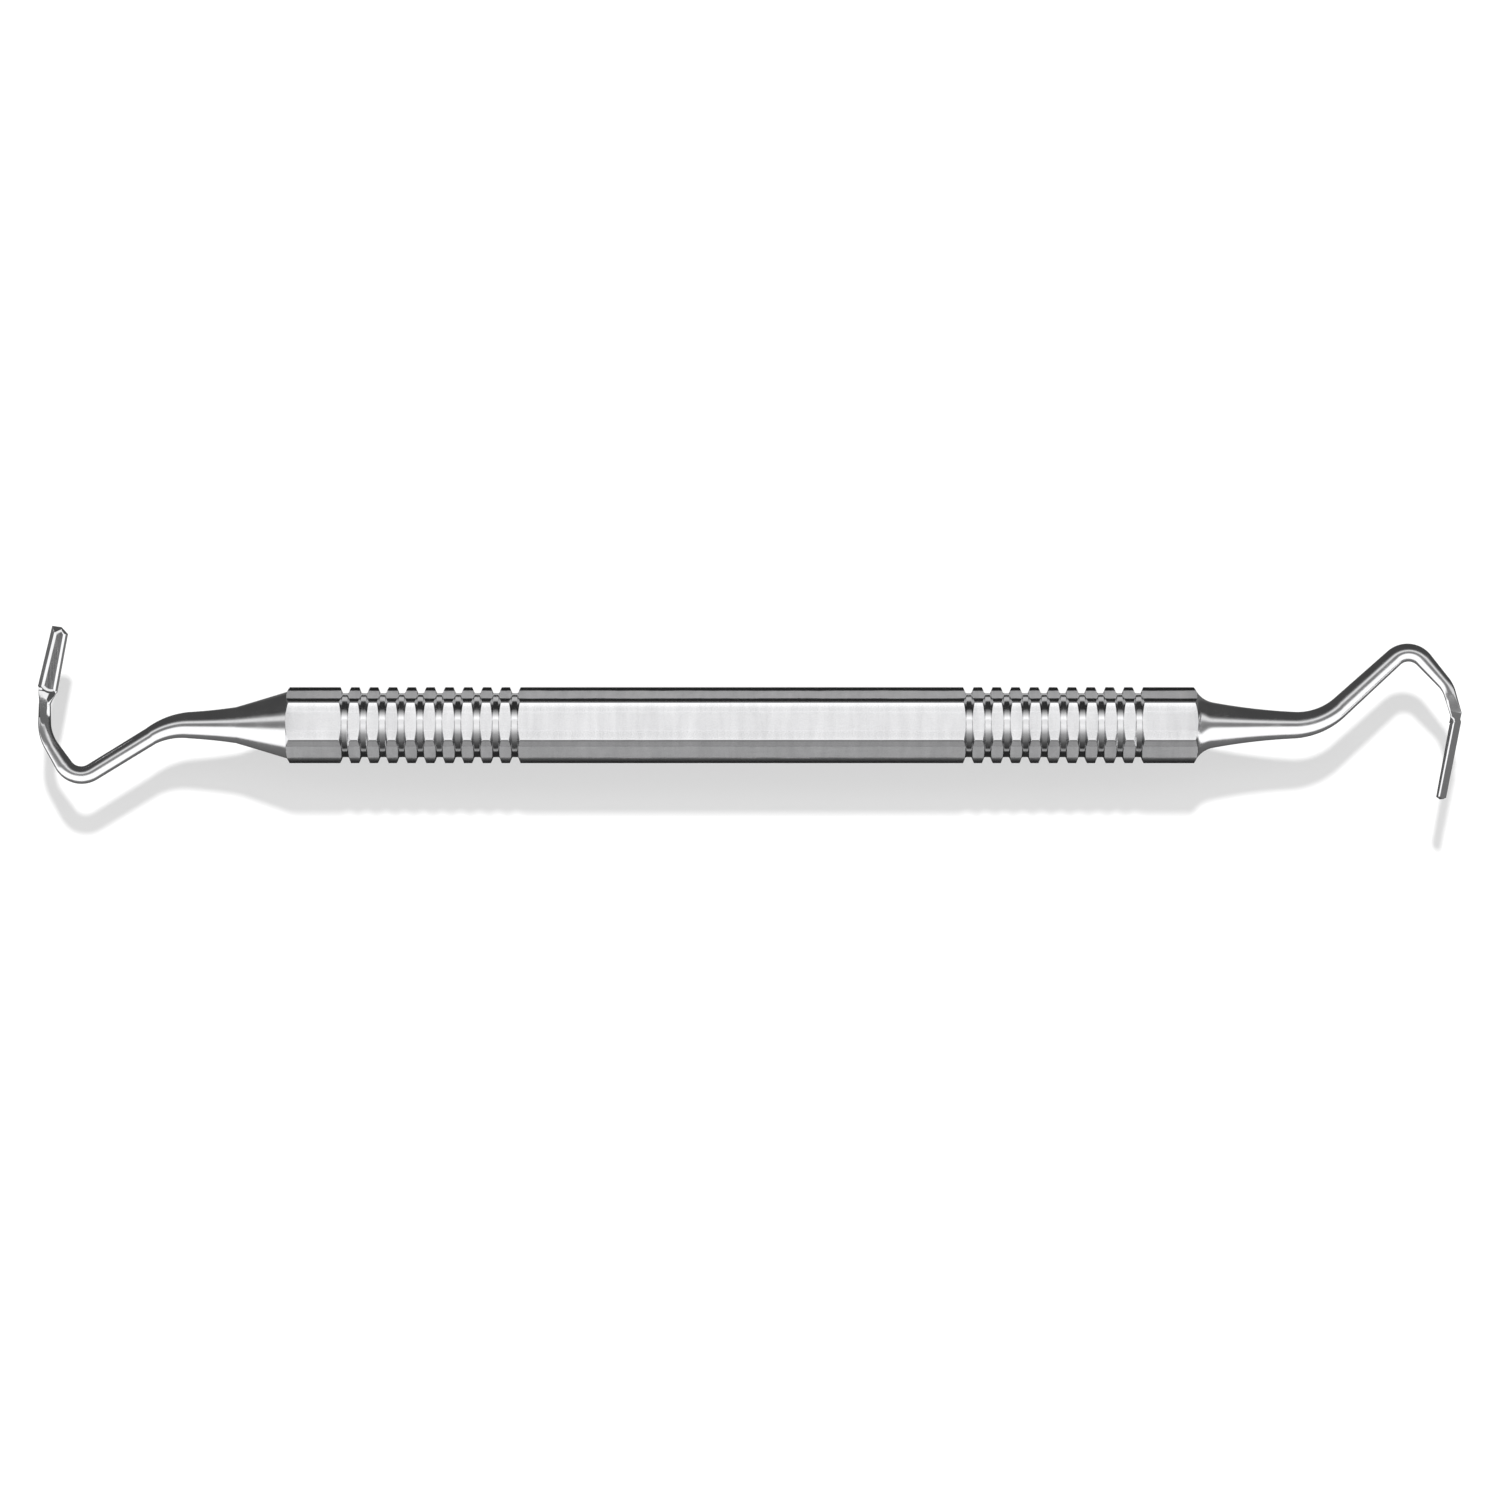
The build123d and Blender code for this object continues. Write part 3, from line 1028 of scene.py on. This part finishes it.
def one_sided_glow(name, reach):
    """Material that shines from its faces' fronts onto what is within reach, else is clear."""
    material = bpy.data.materials.new(name)
    material.use_nodes = True
    tree = material.node_tree
    tree.nodes.clear()
    glow = node(tree, "ShaderNodeEmission")
    clear = node(tree, "ShaderNodeBsdfTransparent")
    facing = node(tree, "ShaderNodeNewGeometry")
    path = node(tree, "ShaderNodeLightPath")
    too_far = node(tree, "ShaderNodeMath", operation="GREATER_THAN")
    too_far.inputs[1].default_value = reach * MM
    mix = node(tree, "ShaderNodeMixShader")
    output = node(tree, "ShaderNodeOutputMaterial")
    tree.links.new(path.outputs["Ray Length"], too_far.inputs[0])
    unseen = maths(tree, "MAXIMUM", facing.outputs["Backfacing"], too_far.outputs[0])
    tree.links.new(unseen, mix.inputs[0])
    tree.links.new(glow.outputs[0], mix.inputs[1])
    tree.links.new(clear.outputs[0], mix.inputs[2])
    tree.links.new(mix.outputs[0], output.inputs["Surface"])
    material.cycles.emission_sampling = "NONE"
    return material, tree, glow


def banded_glow(name, bands, reach):
    """Glow in bands round the object's own X axis, counted from its Z towards its Y."""
    material, tree, glow = one_sided_glow(name, reach)
    coordinates = node(tree, "ShaderNodeTexCoord")
    parts = node(tree, "ShaderNodeSeparateXYZ")
    tree.links.new(coordinates.outputs["Object"], parts.inputs[0])
    angle = maths(tree, "ARCTAN2", parts.outputs["Y"], parts.outputs["Z"])
    tree.links.new(bands_by_angle(tree, angle, bands), glow.inputs["Color"])
    return material


def cap_faces(angles, radius, split):
    """Where the parts of both caps meet, and the corners of each of their parts.

    The tube's corners are numbered round its low end, then round its high end, and then come
    the two meeting points.
    """
    side = round(acos(split[1] / radius) / (2 * pi) * TENT_STEPS)
    top = round(asin(split[0] / radius) / (2 * pi) * TENT_STEPS)
    meeting = (radius * sin(angles[top]), radius * cos(angles[side]))
    faces = []
    for first, middle in ((0, 2 * TENT_STEPS), (TENT_STEPS, 2 * TENT_STEPS + 1)):
        away = [first + n % TENT_STEPS for n in range(-side, top + 1)] + [middle]
        near = [first + n for n in range(top, side + 1)] + [middle]
        rest = [first + n for n in range(side, TENT_STEPS - side + 1)]
        for part in (away, near, rest):
            faces.append(tuple(part if first else reversed(part)))
    return meeting, faces


def add_caps(points, faces, angles, radius, length, split):
    """Adds what both caps need to the tube's points and faces."""
    meeting, extra_faces = cap_faces(angles, radius, split)
    points += [Vector((x, *meeting)) * MM for x in (-length / 2, length / 2)]
    faces += extra_faces


def paint_caps(mesh, name, caps, reach):
    """Plain glows for the parts of both caps, whose faces come after the tube's."""
    for brightness in (*caps[0], *caps[1]):
        material, _, glow = one_sided_glow(name + "_cap", reach)
        glow.inputs["Color"].default_value = (brightness, brightness, brightness, 1)
        mesh.materials.append(material)
    for number, face in enumerate(mesh.polygons[TENT_STEPS:], 1):
        face.material_index = number


def build_tent(name, centre, length, radius, bands, turn=0.0, caps=None, cap_split=(0.0, 0.0)):
    """Tube of light about a level axis, with its low and high caps if they are given."""
    reach = TENT_REACH * radius
    angles = np.linspace(0, 2 * pi, TENT_STEPS, endpoint=False)
    points = [
        Vector((x, radius * sin(a), radius * cos(a))) * MM
        for x in (-length / 2, length / 2) for a in angles
    ]
    faces = [
        (n, (n + 1) % TENT_STEPS, (n + 1) % TENT_STEPS + TENT_STEPS, n + TENT_STEPS)
        for n in range(TENT_STEPS)
    ]
    if caps:
        add_caps(points, faces, angles, radius, length, cap_split)
    mesh = bpy.data.meshes.new(name)
    mesh.from_pydata(points, [], faces)
    mesh.materials.append(banded_glow(name, bands, reach))
    if caps:
        paint_caps(mesh, name, caps, reach)
    tent = bpy.data.objects.new(name, mesh)
    tent.location = Vector(centre) * MM
    tent.rotation_euler.z = turn
    bpy.context.scene.collection.objects.link(tent)
    tent.visible_camera = False
    tent.visible_diffuse = False
    tent.visible_shadow = False
    tent.visible_transmission = False


def build_tents():
    """One tent round the handle, three at the left working end and one at the right."""
    middle = (0, 0, AXIS_HEIGHT)
    handle_length = 2 * (HANDLE_END + HANDLE_TENT_OVERHANG)
    build_tent("handle_tent", middle, handle_length, HANDLE_TENT_RADIUS, HANDLE_TENT_BANDS)
    shoulder = LEFT_END.neck_length
    blade_tent(
        LEFT_END, "knee", (KNEE_TENT_START, shoulder),
        LEFT_KNEE_TENT_BANDS, LEFT_KNEE_CAPS, KNEE_TENT_RADIUS,
    )
    blade_tent(
        LEFT_END, "neck", (NECK_TENT_START, shoulder - NECK_TENT_SHORT_BY),
        LEFT_NECK_TENT_BANDS, LEFT_NECK_CAPS, cap_split=NECK_CAP_SPLIT,
    )
    beyond_tip = shoulder + LEFT_END.blade_length + BLADE_TENT_OVERHANG
    blade_tent(
        LEFT_END, "blade", (shoulder - LEFT_TENT_LEAD, beyond_tip),
        LEFT_BLADE_TENT_BANDS, LEFT_BLADE_CAPS,
    )
    beyond_tip = RIGHT_END.neck_length + RIGHT_END.blade_length + BLADE_TENT_OVERHANG
    blade_tent(
        RIGHT_END, "blade", (RIGHT_TENT_START, beyond_tip),
        RIGHT_BLADE_TENT_BANDS, RIGHT_BLADE_CAPS,
    )


def blade_tent(end, name, reaches, bands, caps, radius=BLADE_TENT_RADIUS,
               cap_split=BLADE_CAP_SPLIT):
    """Tent along a blade's direction, between two distances beyond the knee."""
    along, _, _ = blade_directions(end)
    knee = np.array((*end.corners[-1], 0))
    low, high = in_shared_frame(end, [knee + along * reach for reach in reaches])
    length = np.linalg.norm(high - low)
    turn = -pi / 2 - BLADE_LEAN
    if end.outwards < 0:
        caps = tuple(reversed(caps))
    name = end.name + "_" + name + "_tent"
    build_tent(name, (low + high) / 2, length, radius, bands, turn, caps, cap_split)


def build_sun():
    """Key light from behind the object, which shines on the floor but isn't reflected."""
    light = bpy.data.lights.new("key_sun", "SUN")
    light.energy = SUN_STRENGTH
    light.angle = SUN_SPREAD
    sun = bpy.data.objects.new("key_sun", light)
    sun.rotation_euler = (-(pi / 2 - SUN_ELEVATION), 0, 0)
    sun.visible_glossy = False
    bpy.context.scene.collection.objects.link(sun)


def clear_from_below(material, shader):
    """Lets views from under the floor see the object."""
    tree = material.node_tree
    facing = node(tree, "ShaderNodeNewGeometry")
    clear = node(tree, "ShaderNodeBsdfTransparent")
    mix = node(tree, "ShaderNodeMixShader")
    tree.links.new(facing.outputs["Backfacing"], mix.inputs[0])
    tree.links.new(shader.outputs[0], mix.inputs[1])
    tree.links.new(clear.outputs[0], mix.inputs[2])
    tree.links.new(mix.outputs[0], tree.nodes["Material Output"].inputs["Surface"])


def build_floor():
    """Level floor, some way under the handle."""
    mesh = bpy.data.meshes.new("floor")
    corners = [(-1, -1), (1, -1), (1, 1), (-1, 1)]
    points = [(x * FLOOR_HALF, y * FLOOR_HALF, -FLOOR_GAP * MM) for x, y in corners]
    mesh.from_pydata(points, [], [(0, 1, 2, 3)])
    floor = bpy.data.objects.new("floor", mesh)
    bpy.context.scene.collection.objects.link(floor)
    material, _, shader = new_material("white_floor", 0.0, FLOOR_WHITE)
    shader.inputs["Roughness"].default_value = 1.0
    shader.inputs["Emission Color"].default_value = (1, 1, 1, 1)
    shader.inputs["Emission Strength"].default_value = FLOOR_GLOW
    shader.inputs["Specular IOR Level"].default_value = 0.0
    mesh.materials.append(material)
    clear_from_below(material, shader)
    floor.visible_glossy = False


def build_camera():
    """Nearly overhead, with the frame's width spanning FRAME_WIDTH at the handle's axis."""
    data = bpy.data.cameras.new("camera")
    data.sensor_width = SENSOR_WIDTH
    data.lens = SENSOR_WIDTH * CAMERA_DISTANCE / (FRAME_WIDTH * MM)
    data.clip_end = CAMERA_SEES_TO
    camera = bpy.data.objects.new("camera", data)
    aim = Vector((FRAME_CENTRE_X, FRAME_CENTRE_Y, AXIS_HEIGHT)) * MM
    back = Vector((0, -cos(CAMERA_ELEVATION), sin(CAMERA_ELEVATION)))
    camera.location = aim + back * CAMERA_DISTANCE
    camera.rotation_euler = (pi / 2 - CAMERA_ELEVATION, 0, 0)
    bpy.context.scene.collection.objects.link(camera)
    bpy.context.scene.camera = camera


# ------------------------------------------------------------------ assembly


def stand_for(made, cad_node):
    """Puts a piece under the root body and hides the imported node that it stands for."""
    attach(made, "root")
    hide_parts(cad_node)


satin = satin_material()
turned = polished_material("polished_turned_steel", TURNED_LINES, TURNED_SCRATCHES)
blade_steel = polished_material("polished_blade_steel", BLADE_GRAIN, BLADE_SCRATCHES)
ground = ground_material()

stand_for(build_handle([satin, turned]), "handle_tube")
for end in (LEFT_END, RIGHT_END):
    stand_for(build_ferrule(end, turned), end.name + "_ferrule")
    working_end = build_working_end(end, [blade_steel, ground])
    stand_for(working_end, end.name + "_working_end")

build_world()
build_tents()
build_sun()
build_floor()
build_camera()
bpy.context.scene.view_settings.view_transform = "Standard"
